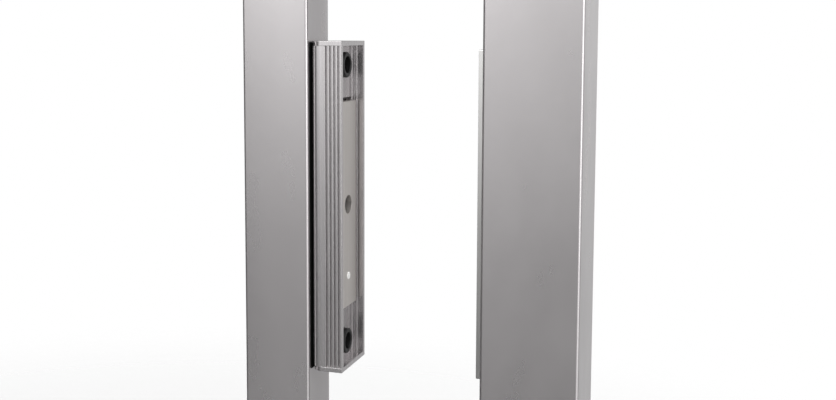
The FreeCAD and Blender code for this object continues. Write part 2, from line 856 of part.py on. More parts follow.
def make_collar(dz):
    """Plastic collar round a fixing bolt."""
    start = at_lock(housing_floor_x, 0, dz)
    length = armature_face_x - collar_face_drop - housing_floor_x
    collar = rod(collar_radius, start, length)
    bore_radius = fixing_head_radius + collar_bore_clearance
    collar = collar.cut(rod(bore_radius, start + X_AXIS * collar_base, length))
    return collar.cut(rod(fixing_radius + fit_gap, start, length))


def make_fixing_bolts():
    """Cap screws that hold the housing to the upright."""
    bolts = []
    tip_x = upright_face_x - insert_depth
    for place in fixing_places(tip_x):
        seat = V(housing_floor_x + collar_base, place.y, place.z)
        head = rod(fixing_head_radius, seat, fixing_head_height)
        socket_start = seat + X_AXIS * (fixing_head_height - socket_depth)
        head = head.cut(hexagon(socket_radius, socket_start, socket_depth))
        bolts.append(head.fuse(rod(fixing_radius, place, seat.x - tip_x)).removeSplitter())
    return group(bolts)


def make_upright_inserts():
    """Rivet nuts in the wall of the gate upright."""
    inserts = []
    for place in fixing_places(upright_face_x - insert_depth):
        sleeve = rod(insert_radius, place, insert_depth)
        flange = rod(insert_flange_radius, V(upright_face_x, place.y, place.z), insert_flange)
        sleeve = sleeve.fuse(flange).removeSplitter()
        inserts.append(sleeve.cut(rod(fixing_radius, place, insert_depth + insert_flange)))
    return group(inserts)


parts["lock_housing"] = make_housing()
parts["housing_top_cap"] = make_end_cap(True)
parts["housing_bottom_cap"] = make_end_cap(False)
parts["end_cap_screws"] = make_cap_screws()
parts["housing_gasket"] = make_gasket()
parts["upper_fixing_collar"] = make_collar(collar_offset)
parts["lower_fixing_collar"] = make_collar(-collar_offset)
parts["housing_bolts"] = make_fixing_bolts()
parts["upright_rivet_nuts"] = make_upright_inserts()

# ---- armature ------------------------------------------------------------------------------------

chamber_end_x = armature_back_x + release_plug_thickness
flange_x = armature_face_x - release_shoulder_depth - release_flange_thickness


def make_armature():
    """Steel plate with the counterbored screw hole, guide holes and the release pin's chamber."""
    plate = lock_block(armature_back_x, armature_face_x, armature_width, armature_length / 2)
    plate = rounded(plate, armature_edge_radius, X_AXIS)
    hole = armature_screw_radius + screw_clearance
    plate = plate.cut(rod(hole, at_lock(armature_back_x), armature_thickness))
    counterbore = at_lock(armature_face_x - counterbore_depth)
    plate = plate.cut(rod(counterbore_radius, counterbore, counterbore_depth))
    for dz in pair(guide_pin_offset):
        depth = guide_pin_entry + guide_pin_clearance
        start = at_lock(armature_back_x, 0, dz)
        plate = plate.cut(rod(guide_pin_radius + guide_pin_clearance, start, depth))
    nose = at_lock(armature_back_x, 0, release_offset)
    plate = plate.cut(rod(release_pin_radius + release_running_gap, nose, armature_thickness))
    chamber = armature_thickness - release_shoulder_depth
    return plate.cut(rod(release_chamber_radius, nose, chamber))


def make_armature_screw():
    """Socket screw that the armature floats on."""
    seat_x = armature_face_x - counterbore_depth + washer_gap
    head = rod(armature_screw_head_radius, at_lock(seat_x), armature_screw_head_height)
    socket_x = seat_x + armature_screw_head_height - socket_depth
    head = head.cut(hexagon(socket_radius, at_lock(socket_x), socket_depth))
    shank = rod(armature_screw_radius, at_lock(housing_back_x), seat_x - housing_back_x)
    return head.fuse(shank).removeSplitter()


def make_rubber_washer():
    """Soft washer behind the armature."""
    length = armature_back_x - washer_gap - housing_floor_x
    radius = armature_screw_radius + washer_width
    return ring(radius, armature_screw_radius, at_lock(housing_floor_x), length)


def make_guide_pins():
    """Dowels that stop the armature from turning."""
    length = armature_back_x + guide_pin_entry - guide_pin_clearance - housing_back_x
    starts = [at_lock(housing_back_x, 0, dz) for dz in pair(guide_pin_offset)]
    return group([rod(guide_pin_radius, start, length) for start in starts])


def make_release_pin():
    """White pin that pushes the magnet off when the current stops."""
    nose = rod(release_pin_radius, at_lock(flange_x, 0, release_offset),
               armature_face_x + release_pin_travel - flange_x)
    tip_edges = edges_from_x(nose.Edges, armature_face_x + release_pin_travel)
    nose = nose.makeFillet(release_nose_radius, tip_edges)
    flange = rod(release_flange_radius, at_lock(flange_x, 0, release_offset), release_flange_thickness)
    stem_length = flange_x - chamber_end_x - release_pin_travel - fit_gap
    stem = rod(release_stem_radius, at_lock(flange_x - stem_length, 0, release_offset), stem_length)
    return nose.fuse(flange).fuse(stem).removeSplitter()


def make_release_spring():
    """Coil spring between the flange of the pin and its plug."""
    start_x = chamber_end_x + release_spring_end_gap + release_wire_radius
    length = flange_x - release_spring_end_gap - release_wire_radius - start_x
    coil_radius = release_flange_radius - 2 * release_wire_radius
    steps = int(release_spring_turns * release_spring_steps)
    points = []
    for step in range(steps + 1):
        angle = 2 * math.pi * step / release_spring_steps
        points.append(at_lock(start_x + length * step / steps, coil_radius * math.cos(angle),
                              release_offset + coil_radius * math.sin(angle)))
    path = Part.makePolygon(points)
    section = Part.Wire(Part.makeCircle(release_wire_radius, points[0], points[1] - points[0]))
    return path.makePipeShell([section], True, False, 1)


def make_release_plug():
    """Screw plug that closes the spring chamber."""
    start = at_lock(armature_back_x, 0, release_offset)
    plug = rod(release_chamber_radius, start, release_plug_thickness)
    return plug.cut(hexagon(release_stem_radius, start, release_plug_thickness / 2))


parts["armature_plate"] = make_armature()
parts["armature_screw"] = make_armature_screw()
parts["rubber_washer"] = make_rubber_washer()
parts["guide_pins"] = make_guide_pins()
parts["release_pin"] = make_release_pin()
parts["release_spring"] = make_release_spring()
parts["release_plug"] = make_release_plug()

# ---- write one STEP file per piece ---------------------------------------------------------------

os.makedirs("parts", exist_ok=True)
for name, shape in sorted(parts.items()):
    if not shape.isValid():
        raise ValueError(name + " is not a valid shape")
    shape.exportStep("parts/" + name + ".step")
    box = shape.BoundBox
    print("%-22s %d solid(s) %10.0f mm3  X %.1f..%.1f  Y %.1f..%.1f  Z %.1f..%.1f" % (
        name, len(shape.Solids), shape.Volume, box.XMin, box.XMax, box.YMin, box.YMax, box.ZMin, box.ZMax))
print("gate slides from %.1f to %.1f mm" % (-travel_to_open, travel_to_close))
print("tilt moves the ends of the armature by %.2f mm" % tilt_reach)
print("roller turns %.3f rad per metre" % (1000 / (groove_radius + roll_gap)))
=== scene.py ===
# %% [markdown]
# # A sliding security gate and its electromagnetic lock
# The gate upright rolls along a floor track towards the lock post. Its ribbed housing carries an armature
# plate, and the post carries an electromagnet that holds the plate when the gate is shut. The machine parts
# come from the CAD frame. This lesson gives each of them the surface that the real one has.

# %% Load the CAD frame
import json
import math

import bmesh
import bpy
import numpy as np
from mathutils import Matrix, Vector


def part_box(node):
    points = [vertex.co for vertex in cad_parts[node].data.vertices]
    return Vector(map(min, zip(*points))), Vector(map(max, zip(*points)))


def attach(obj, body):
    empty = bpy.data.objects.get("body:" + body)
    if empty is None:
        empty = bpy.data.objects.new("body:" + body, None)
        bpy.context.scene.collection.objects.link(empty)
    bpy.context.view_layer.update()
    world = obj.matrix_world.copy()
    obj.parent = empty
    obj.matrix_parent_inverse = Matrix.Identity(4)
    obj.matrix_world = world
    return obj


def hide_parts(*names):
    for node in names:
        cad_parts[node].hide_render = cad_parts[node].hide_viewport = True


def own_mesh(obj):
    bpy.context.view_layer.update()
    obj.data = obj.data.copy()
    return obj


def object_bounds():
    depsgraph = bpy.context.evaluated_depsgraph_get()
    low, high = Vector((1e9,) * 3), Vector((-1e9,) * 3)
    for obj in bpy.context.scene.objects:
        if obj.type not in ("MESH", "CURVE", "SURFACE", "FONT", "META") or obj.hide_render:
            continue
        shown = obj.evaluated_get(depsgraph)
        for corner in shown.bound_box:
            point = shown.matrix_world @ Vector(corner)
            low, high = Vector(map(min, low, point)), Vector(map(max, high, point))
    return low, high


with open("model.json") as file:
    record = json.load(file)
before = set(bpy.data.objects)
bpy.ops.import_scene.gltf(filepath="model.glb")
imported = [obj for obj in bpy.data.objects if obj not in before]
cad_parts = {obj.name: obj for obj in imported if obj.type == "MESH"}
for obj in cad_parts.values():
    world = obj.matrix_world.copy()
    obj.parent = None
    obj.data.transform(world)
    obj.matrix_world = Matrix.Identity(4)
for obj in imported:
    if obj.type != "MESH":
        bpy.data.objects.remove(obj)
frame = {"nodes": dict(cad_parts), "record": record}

cad_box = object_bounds()
MM = 0.001
SHARP = math.radians(32)
print("nodes in the frame:", len(frame["nodes"]))

# %% [markdown]
# ## Places to build from
# Every piece is placed by the boxes of the CAD nodes, so that nothing has to be fitted afterwards. The
# middle of the armature plate is the middle of the lock, and most of this lesson happens around it.

# %% Middle of the lock
plate_low, plate_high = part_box("armature_plate")
lock_middle = (plate_low + plate_high) / 2
housing_low, housing_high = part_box("lock_housing")
post_low, post_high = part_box("lock_post")
upright_low, upright_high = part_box("gate_upright")
print("middle of the lock:", [round(value, 4) for value in lock_middle])

# %% [markdown]
# ## The camera
# A camera can be aimed with angles or with a direction vector. The vector is easier to reason about: it comes
# from the turn to the left of the straight-on view and the tilt downwards. The frame is cut a little below
# the optical axis and to its right, which is what the two small shift values say.

# %% Camera
camera_turn = math.radians(19.64)
camera_tilt = math.radians(5.265)
right_of_upright, in_front_of_upright, above_lock = 347.0 * MM, 827.7 * MM, 148.8 * MM
camera_place = Vector((
    upright_high.x + right_of_upright,
    upright_low.y - in_front_of_upright,
    lock_middle.z + above_lock,
))
camera_data = bpy.data.cameras.new("camera")
camera_data.sensor_width = 36.0
camera_data.lens = 45.83
camera_data.shift_x = 0.0636
camera_data.shift_y = -0.0825
camera = bpy.data.objects.new("camera", camera_data)
look = Vector((
    -math.sin(camera_turn) * math.cos(camera_tilt),
    math.cos(camera_turn) * math.cos(camera_tilt),
    -math.sin(camera_tilt),
))
camera.location = camera_place
camera.rotation_euler = look.to_track_quat("-Z", "Y").to_euler()
bpy.context.scene.collection.objects.link(camera)
bpy.context.scene.camera = camera
print("camera looks along", [round(value, 3) for value in look])

# %% [markdown]
# ## From numbers to meshes
# Nearly every turned, drawn or moulded part is one of two surfaces: a closed outline carried along a path,
# or a profile turned round an axis. Both are a grid of points, so one function makes the faces of any grid
# and two short ones work out the points. The corners of an outline are never quite sharp on a real part, so
# `soften` replaces each corner by a small parabola: p = (1-t)^2 a + 2t(1-t) corner + t^2 b.

# %% Grid of points to mesh
def grid_piece(name, points, wrap_rows=False, cap_ends=True):
    """Quads between points[row, column]. Columns always close into a ring. Rows close if wrap_rows."""
    rows, columns = points.shape[:2]
    index = np.arange(rows * columns).reshape(rows, columns)
    below = index if wrap_rows else index[:-1]
    above = np.roll(index, -1, axis=0) if wrap_rows else index[1:]
    quads = np.stack([below, np.roll(below, -1, 1), np.roll(above, -1, 1), above], axis=-1)
    faces = quads.reshape(-1, 4).tolist()
    if cap_ends and not wrap_rows:
        faces.append(index[0][::-1].tolist())
        faces.append(index[-1].tolist())
    mesh = bpy.data.meshes.new(name)
    mesh.from_pydata(points.reshape(-1, 3).tolist(), [], faces)
    return finish_mesh(name, mesh)


def finish_mesh(name, mesh):
    """Merges poles, turns the faces outwards and makes an object of the mesh."""
    work = bmesh.new()
    work.from_mesh(mesh)
    bmesh.ops.remove_doubles(work, verts=work.verts, dist=1e-7)
    bmesh.ops.recalc_face_normals(work, faces=work.faces)
    work.to_mesh(mesh)
    work.free()
    return smooth_object(name, mesh)


def shade_smooth(mesh):
    """Smooth shading except across sharp edges."""
    mesh.polygons.foreach_set("use_smooth", np.ones(len(mesh.polygons), bool))
    mesh.set_sharp_from_angle(angle=SHARP)


def smooth_object(name, mesh):
    """Object in the scene with smooth shading."""
    shade_smooth(mesh)
    piece = bpy.data.objects.new(name, mesh)
    bpy.context.scene.collection.objects.link(piece)
    return piece


def soften(corners, radius, steps=4):
    """Closed outline with each corner rounded by a parabola that starts one radius before it."""
    corners = np.asarray(corners, float)
    before = np.roll(corners, 1, axis=0) - corners
    after = np.roll(corners, -1, axis=0) - corners
    before_long, after_long = np.linalg.norm(before, axis=1), np.linalg.norm(after, axis=1)
    reach = np.broadcast_to(np.asarray(radius, float), len(corners))
    most_of_a_side = 0.49
    near_a = np.minimum(reach, before_long * most_of_a_side)
    near_b = np.minimum(reach, after_long * most_of_a_side)
    start = corners + before / before_long[:, None] * near_a[:, None]
    end = corners + after / after_long[:, None] * near_b[:, None]
    t = np.linspace(0, 1, steps + 1)[None, :, None]
    curve = (1 - t) ** 2 * start[:, None] + 2 * t * (1 - t) * corners[:, None] + t ** 2 * end[:, None]
    return curve.reshape(-1, 2)


print("helpers: grid_piece, finish_mesh, shade_smooth, smooth_object, soften")

# %% Carry an outline along, or turn a profile round
def turned(name, profile, centre, axis, columns=64):
    """Profile of (radius, distance) pairs turned round a level axis, p = centre + d axis + r spoke(a)."""
    axis = np.array(axis, float)
    side = np.array([0.0, 0.0, 1.0])
    other = np.cross(axis, side)
    angle = np.linspace(0, 2 * math.pi, columns, endpoint=False)
    spoke = np.cos(angle)[:, None] * side + np.sin(angle)[:, None] * other
    profile = np.asarray(profile, float)
    points = np.array(centre) + profile[:, 1, None, None] * axis + profile[:, 0, None, None] * spoke
    return grid_piece(name, points, wrap_rows=True)


def drawn(name, outline, z_levels):
    """Outline in X and Y carried up through z_levels."""
    rings = [np.column_stack([outline, np.full(len(outline), z)]) for z in z_levels]
    return grid_piece(name, np.array(rings))


print("helpers: turned, drawn")

# %% [markdown]
# ## Softening the CAD parts
# A machined or folded part always has a small radius on its edges, and that radius is what catches the
# light. The CAD solids are exact but razor sharp. A copy of each one is merged, given a Bevel modifier and
# shown in place of the sharp one. The bevel cuts inwards, so the part keeps its size.

# %% Bevelled copy of a CAD node
def softened(node, width_mm, slot, body):
    """Copy of a CAD node with rounded edges, shown in its place."""
    mesh = frame["nodes"][node].data.copy()
    mesh.materials.clear()
    work = bmesh.new()
    work.from_mesh(mesh)
    bmesh.ops.remove_doubles(work, verts=work.verts, dist=1e-6)
    bmesh.ops.dissolve_limit(work, angle_limit=math.radians(0.5), verts=work.verts, edges=work.edges)
    work.to_mesh(mesh)
    work.free()
    piece = smooth_object(node + "_finished", mesh)
    bevel = piece.modifiers.new("soft edges", "BEVEL")
    bevel.width = width_mm * MM
    bevel.segments = 2
    bevel.limit_method = "ANGLE"
    bevel.angle_limit = math.radians(40)
    bevel.harden_normals = True
    bevel.use_clamp_overlap = True
    return place(piece, body, slot, node)


def place(piece, body, slot, *nodes):
    """Rides the piece on its body, gives it its finish, and hides the CAD nodes that it stands for."""
    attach(piece, body)
    if nodes:
        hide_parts(*nodes)
    piece.data.materials.clear()
    piece.data.materials.append(finish[slot])
    return piece


print("helpers: softened, place")

# %% [markdown]
# ## Finishes
# Every finish starts from one Principled shader. What is the same all over, such as metalness, is set on
# the shader itself. What varies, such as colour, gloss and relief, comes from noise in Object coordinates,
# stretched along the direction in which the real part was rolled, drawn or ground.

# %% Building blocks of a finish
NOISE_LOW, NOISE_HIGH = 0.2, 0.8


def new_finish(name, **constants):
    """Material with a Principled shader whose constant sockets are set directly."""
    material = bpy.data.materials.new(name)
    material.use_nodes = True
    shader = material.node_tree.nodes["Principled BSDF"]
    for socket, value in constants.items():
        shader.inputs[socket.replace("_", " ")].default_value = value
    return material


def noise_of(material, stretch, detail=4.0):
    """Noise in Object coordinates, counted in cycles per metre along X, Y and Z."""
    nodes, links = material.node_tree.nodes, material.node_tree.links
    coordinates = nodes.new("ShaderNodeTexCoord")
    mapping = nodes.new("ShaderNodeMapping")
    mapping.inputs["Scale"].default_value = stretch
    noise = nodes.new("ShaderNodeTexNoise")
    noise.inputs["Scale"].default_value = 1.0
    noise.inputs["Detail"].default_value = detail
    noise.inputs["Roughness"].default_value = 0.55
    links.new(coordinates.outputs["Object"], mapping.inputs["Vector"])
    links.new(mapping.outputs["Vector"], noise.inputs["Vector"])
    return noise.outputs["Fac"]


def colour_by(material, value, dark, light, low=NOISE_LOW, high=NOISE_HIGH):
    """Base colour that wanders between two tones."""
    ramp = material.node_tree.nodes.new("ShaderNodeValToRGB")
    for element, position, colour in zip(ramp.color_ramp.elements, (low, high), (dark, light)):
        element.position, element.color = position, (*colour, 1.0)
    shader = material.node_tree.nodes["Principled BSDF"]
    material.node_tree.links.new(value, ramp.inputs["Fac"])
    material.node_tree.links.new(ramp.outputs["Color"], shader.inputs["Base Color"])


def gloss_by(material, value, low, high):
    """Roughness that wanders between two values."""
    spread = material.node_tree.nodes.new("ShaderNodeMapRange")
    spread.inputs["From Min"].default_value = NOISE_LOW
    spread.inputs["From Max"].default_value = NOISE_HIGH
    spread.inputs["To Min"].default_value = low
    spread.inputs["To Max"].default_value = high
    shader = material.node_tree.nodes["Principled BSDF"]
    material.node_tree.links.new(value, spread.inputs["Value"])
    material.node_tree.links.new(spread.outputs["Result"], shader.inputs["Roughness"])


def relief_by(material, value, depth_mm):
    """Bump whose height is the value times a depth. A second relief adds to the first."""
    bump = material.node_tree.nodes.new("ShaderNodeBump")
    bump.inputs["Distance"].default_value = depth_mm * MM
    bump.inputs["Strength"].default_value = 1.0
    shader = material.node_tree.nodes["Principled BSDF"]
    links = material.node_tree.links
    if shader.inputs["Normal"].links:
        links.new(shader.inputs["Normal"].links[0].from_socket, bump.inputs["Normal"])
    links.new(value, bump.inputs["Height"])
    links.new(bump.outputs["Normal"], shader.inputs["Normal"])


finish = {}
print("helpers: new_finish, noise_of, colour_by, gloss_by, relief_by")

# %% [markdown]
# ### Powder-coated steel
# The uprights and plates are sprayed with a metallic grey powder and baked. Baking leaves a satin skin with
# a very fine orange peel, and the powder's flakes make the tone wander a little. A metal shader with a
# broad gloss and two scales of noise gives both.

# %% Powder coat
coat = new_finish("powder_coated_tube", Metallic=0.85, IOR=1.5)
colour_by(coat, noise_of(coat, (6, 6, 4)), (0.475, 0.455, 0.46), (0.565, 0.545, 0.55))
gloss_by(coat, noise_of(coat, (30, 30, 12)), 0.25, 0.33)
relief_by(coat, noise_of(coat, (900, 900, 900), 2.0), 0.02)
relief_by(coat, noise_of(coat, (90, 90, 60), 2.0), 0.05)
finish["powder_coated_tube"] = coat
print("finish:", coat.name)

# %% [markdown]
# ### Drawn and anodised aluminium
# The housing is drawn through a die, so its faint lines run along its length. Anodising leaves it paler
# than the uprights, with a soft even gloss. Noise that is a hundred times finer across than along makes
# the die lines.

# %% Anodised aluminium
anodised = new_finish("anodised_aluminium", Metallic=0.9, IOR=1.5)
colour_by(anodised, noise_of(anodised, (700, 700, 7), 3.0), (0.53, 0.51, 0.515), (0.60, 0.58, 0.585))
gloss_by(anodised, noise_of(anodised, (900, 900, 10), 3.0), 0.20, 0.30)
relief_by(anodised, noise_of(anodised, (1500, 1500, 12), 2.0), 0.006)
finish["anodised_aluminium"] = anodised
print("finish:", anodised.name)

# %% [markdown]
# ### Ground, brushed and plated steels
# The armature is ground flat and nickel plated, the magnet's face plate is brushed stainless steel, and the
# fasteners are zinc plated or blackened. They differ in tone, gloss and the direction of the grain, so one
# function makes them all from those three.

# %% Steels
GLOSS_FINER, RELIEF_FINER = 1.7, 2.3


def steel(name, dark, light, gloss, grain, depth_mm, metallic=1.0):
    """Metal with a grain: noise stretched the way that the part was worked."""
    material = new_finish(name, Metallic=metallic)
    colour_by(material, noise_of(material, grain, 3.0), dark, light)
    gloss_by(material, noise_of(material, tuple(GLOSS_FINER * g for g in grain), 3.0), *gloss)
    relief_by(material, noise_of(material, tuple(RELIEF_FINER * g for g in grain), 2.0), depth_mm)
    finish[name] = material


steel("nickel_plated_steel", (0.58, 0.545, 0.52), (0.68, 0.645, 0.615), (0.30, 0.42), (300, 900, 14),
      0.01, 0.8)
steel("stainless_steel", (0.60, 0.595, 0.585), (0.70, 0.695, 0.685), (0.26, 0.38), (900, 900, 10), 0.01)
steel("zinc_plated_steel", (0.46, 0.47, 0.48), (0.60, 0.60, 0.60), (0.28, 0.48), (160, 160, 160), 0.02)
steel("black_oxide_steel", (0.035, 0.035, 0.038), (0.075, 0.075, 0.08), (0.35, 0.5), (400, 400, 400), 0.015)
steel("soft_iron", (0.20, 0.195, 0.19), (0.30, 0.29, 0.28), (0.35, 0.5), (2000, 2000, 20), 0.02)
steel("bronze", (0.42, 0.27, 0.12), (0.56, 0.38, 0.18), (0.35, 0.5), (900, 900, 900), 0.02)
print("steels:", [name for name in finish if "steel" in name or name in ("soft_iron", "bronze")])

# %% [markdown]
# ### Rubber and plastics
# Rubber has a fine dull grain and is a shade lighter in patches. Its colour is set darker than real black
# rubber: partly its own black, partly painted shade for the shadowed gap that the gasket sits in. Moulded
# plastic is smoother, with a spark-eroded grain. The release pin is a hard white plastic.

# %% Rubber and plastics
def moulded(name, dark, light, gloss, grain, depth_mm, **constants):
    """Non-metal with an even grain and a slow change of tone."""
    material = new_finish(name, Metallic=0.0, **constants)
    colour_by(material, noise_of(material, (40, 40, 40)), dark, light)
    gloss_by(material, noise_of(material, (70, 70, 70)), *gloss)
    relief_by(material, noise_of(material, (grain, grain, grain), 2.0), depth_mm)
    finish[name] = material


# Nearly pure black: the rubber's own black plus painted shade for the gasket's shadowed gap. The grommet and
# buffer share it.
moulded("black_rubber", (0.001, 0.001, 0.001), (0.003, 0.003, 0.003), (0.7, 0.85), 1800, 0.03,
        Specular_IOR_Level=0.04)
moulded("black_plastic", (0.004, 0.004, 0.004), (0.008, 0.008, 0.008), (0.36, 0.5), 2500, 0.02,
        Specular_IOR_Level=0.35)
moulded("white_plastic", (0.80, 0.79, 0.76), (0.88, 0.88, 0.87), (0.25, 0.38), 1500, 0.008)
moulded("black_resin", (0.010, 0.010, 0.014), (0.020, 0.020, 0.026), (0.15, 0.35), 120, 0.05)
moulded("nylon", (0.050, 0.050, 0.052), (0.085, 0.085, 0.088), (0.35, 0.55), 1400, 0.02)
moulded("green_plastic", (0.03, 0.22, 0.08), (0.05, 0.30, 0.11), (0.3, 0.45), 1600, 0.01)
print("moulded:", [name for name in finish if "plastic" in name or "rubber" in name])

# %% [markdown]
# ### Winding and circuit board
# The winding is hundreds of turns of enamelled wire side by side, which a fine wave pattern across the coil
# shows. The board's copper tracks lie under a green mask: a brick pattern with wide gaps reads as tracks
# that run in straight lines and turn at right angles.

# %% Copper winding and circuit board
winding = new_finish("copper_winding", Metallic=0.9)
wave = winding.node_tree.nodes.new("ShaderNodeTexWave")
wave.bands_direction = "X"
wave.inputs["Scale"].default_value = 260.0
wave.inputs["Distortion"].default_value = 0.6
wave_place = winding.node_tree.nodes.new("ShaderNodeTexCoord")
winding.node_tree.links.new(wave_place.outputs["Object"], wave.inputs["Vector"])
colour_by(winding, wave.outputs["Fac"], (0.20, 0.07, 0.03), (0.62, 0.27, 0.13), 0.1, 0.8)
gloss_by(winding, noise_of(winding, (200, 200, 200)), 0.25, 0.4)
relief_by(winding, wave.outputs["Fac"], 0.2)
finish["copper_winding"] = winding

board = new_finish("circuit_board", Metallic=0.0)
tracks = board.node_tree.nodes.new("ShaderNodeTexBrick")
tracks.inputs["Scale"].default_value = 120.0
tracks.inputs["Mortar Size"].default_value = 0.06
tracks.inputs["Color1"].default_value = (0.012, 0.10, 0.035, 1)
tracks.inputs["Color2"].default_value = (0.018, 0.13, 0.045, 1)
tracks.inputs["Mortar"].default_value = (0.05, 0.24, 0.09, 1)
track_place = board.node_tree.nodes.new("ShaderNodeTexCoord")
track_turn = board.node_tree.nodes.new("ShaderNodeMapping")
track_turn.inputs["Rotation"].default_value = (0.0, math.radians(90), 0.0)
board.node_tree.links.new(track_place.outputs["Object"], track_turn.inputs["Vector"])
board.node_tree.links.new(track_turn.outputs["Vector"], tracks.inputs["Vector"])
board_shader = board.node_tree.nodes["Principled BSDF"]
board.node_tree.links.new(tracks.outputs["Color"], board_shader.inputs["Base Color"])
gloss_by(board, noise_of(board, (300, 300, 300)), 0.2, 0.35)
finish["circuit_board"] = board
print("finishes in all:", len(finish))

# %% [markdown]
# ## Every CAD node gets its finish
# The record says which finish each node has. Nodes that stay as they are get it here, and nodes that a new
# piece stands for get it too, so that nothing is left with a plain colour.

# %% Finishes on the CAD nodes
slot_of = {entry["node"]: entry["material_slot"] for entry in frame["record"]["subparts"]}
body_of = {node: body for body, nodes in frame["record"]["behaviour"]["bodies"].items() for node in nodes}
for node, thing in frame["nodes"].items():
    thing.data.materials.clear()
    thing.data.materials.append(finish[slot_of[node]])
print("finishes set on", len(slot_of), "nodes")

# %% [markdown]
# ## Uprights, plates and caps
# The tubes are drawn square sections with soft corners, and the plates and caps are cut or pressed. They
# keep their CAD shape, holes and all, with a small radius where the CAD edge is sharp.

# %% Softened copies
edge_radius_mm = {
    "gate_upright": 0.35, "lock_post": 0.35, "upright_top_cap": 0.4, "post_top_cap": 0.4,
    "post_base_plate": 0.8, "upright_foot": 0.6, "carriage_frame": 0.6, "floor_track": 0.5,
    "track_end_stop": 0.8, "armature_plate": 0.35, "magnet_face_plate": 0.5, "housing_top_cap": 0.35,
    "housing_bottom_cap": 0.35, "housing_gasket": 0.5, "magnet_core": 0.2, "magnet_case": 0.3,
    "armature_screw": 0.3, "housing_bolts": 0.3, "end_cap_screws": 0.15, "foot_screws": 0.3,
    "roller_axles": 0.4, "axle_nuts": 0.4, "terminal_block": 0.2,
}
for node, radius in edge_radius_mm.items():
    softened(node, radius, slot_of[node], body_of[node])
print("softened:", len(edge_radius_mm))

# %% [markdown]
# ## The ribbed housing
# The housing is one length of extrusion. Its outline has two broad back corners, four deep grooves on each
# side that leave the ribs, and a mouth that steps in towards a ledge. A deep pocket is milled in its middle
# for the armature. Drawing the outline once and carrying it up is how the real one is made too: the same
# outline, with and without the pocket, makes the middle and the two ends.

# %% Housing outline
groove_pitch = 3.65 * MM
groove_first = 2.8 * MM
groove_width = 1.9 * MM
groove_depth = 2.6 * MM
groove_count = 4
back_corner = 9.0 * MM
floor_thickness = 6.8 * MM
rim_wall, step_wall, pocket_wall = 4.0 * MM, 5.5 * MM, 7.5 * MM
step_depth, ledge_depth = 5.6 * MM, 9.6 * MM
slot_drop, slot_width, slot_depth = 1.0 * MM, 1.0 * MM, 1.2 * MM
pocket_end_gap = 3.0 * MM


def housing_side(pocket):
    """Half outline from the back corner to the middle of the floor, in (x, y) with y outwards."""
    half = (housing_high.y - housing_low.y) / 2
    corners = [(housing_low.x, half, back_corner)]
    for groove in reversed(range(groove_count)):
        x = housing_high.x - groove_first - groove_pitch * groove
        for dx, dy, radius in ((-0.5, 0, 0.3), (-0.5, -1, 0.4), (0.5, -1, 0.4), (0.5, 0, 0.3)):
            corners.append((x + dx * groove_width, half + dy * groove_depth, radius * MM))
    corners.append((housing_high.x, half, 0.5 * MM))
    slot_top = step_depth + slot_drop
    slot_bottom = slot_top + slot_width
    walls = [(0.0, rim_wall), (step_depth, rim_wall), (step_depth, step_wall), (slot_top, step_wall),
             (slot_top, step_wall - slot_depth), (slot_bottom, step_wall - slot_depth),
             (slot_bottom, step_wall), (ledge_depth, step_wall)]
    if pocket:
        walls += [(ledge_depth, pocket_wall), (housing_high.x - housing_low.x - floor_thickness, pocket_wall)]
    corners += [(housing_high.x - depth, half - wall, 0.2 * MM) for depth, wall in walls]
    return corners


def housing_length_piece(name, z0, z1, pocket, *nodes):
    """One stretch of the extrusion between two heights."""
    side = housing_side(pocket)
    axis_y = (housing_high.y + housing_low.y) / 2
    outline = [(x, axis_y + y) for x, y, _ in side] + [(x, axis_y - y) for x, y, _ in reversed(side)]
    radii = [radius for _, _, radius in side]
    piece = drawn(name, soften(outline, radii + radii[::-1], 5), [z0, z1])
    return place(piece, "gate", "anodised_aluminium", *nodes)


pocket_low, pocket_high = plate_low.z - pocket_end_gap, plate_high.z + pocket_end_gap
housing_length_piece("ribbed_housing", pocket_low, pocket_high, True, "lock_housing")
ends = [housing_length_piece("ribbed_housing_lower_end", housing_low.z, pocket_low, False, "lock_housing"),
        housing_length_piece("ribbed_housing_upper_end", pocket_high, housing_high.z, False, "lock_housing")]
print("housing in three stretches, pocket", round((pocket_high - pocket_low) / MM, 1), "mm long")

# %% Collar holes
def collar_holes(piece, bore_mm, depth_mm):
    """Bores the seat of a fixing collar into an end of the housing, with a Boolean difference."""
    low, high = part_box("upper_fixing_collar" if piece.name.endswith("upper_end") else "lower_fixing_collar")
    centre = (low + high) / 2
    profile = [(0, 0), (bore_mm * MM, 0), (bore_mm * MM, depth_mm * MM), (0, depth_mm * MM)]
    cutter = turned("bore", profile, (housing_low.x + floor_thickness, centre.y, centre.z), (1, 0, 0))
    cut = piece.modifiers.new("bore", "BOOLEAN")
    cut.object = cutter
    cut.solver = "EXACT"
    evaluated = piece.evaluated_get(bpy.context.evaluated_depsgraph_get())
    mesh = bpy.data.meshes.new_from_object(evaluated)
    piece.modifiers.clear()
    piece.data = mesh
    bpy.data.objects.remove(cutter)
    shade_smooth(mesh)


seat_radius_mm, past_the_mouth_mm = 11.1, 30.0
for end in ends:
    collar_holes(end, seat_radius_mm, past_the_mouth_mm)
print("collar seats are bored")

# %% [markdown]
# ## Turned and moulded round parts
# Collars, rollers, bushes, grommet, buffer and the release pin are all round, so each is a profile turned
# round its axis. The profile is given in millimetres from the part's own CAD box, with softened corners.

# %% Round parts
def turned_part(name, node, axis, corners_mm, radius_mm, slot):
    """Turns a softened profile of (radius, distance from the low end) round the middle of the node's box."""
    low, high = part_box(node)
    along = Vector(axis)
    start = (low + high) / 2 - along * ((high - low).dot(along) / 2)
    profile = soften(np.array(corners_mm) * MM, np.array(radius_mm) * MM)
    return place(turned(name, profile, start, axis), body_of[node], slot, node)


def ring_profile(bore, rim, long):
    """Section of a plain ring or bush."""
    return [(bore, 0), (rim, 0), (rim, long), (bore, long)]


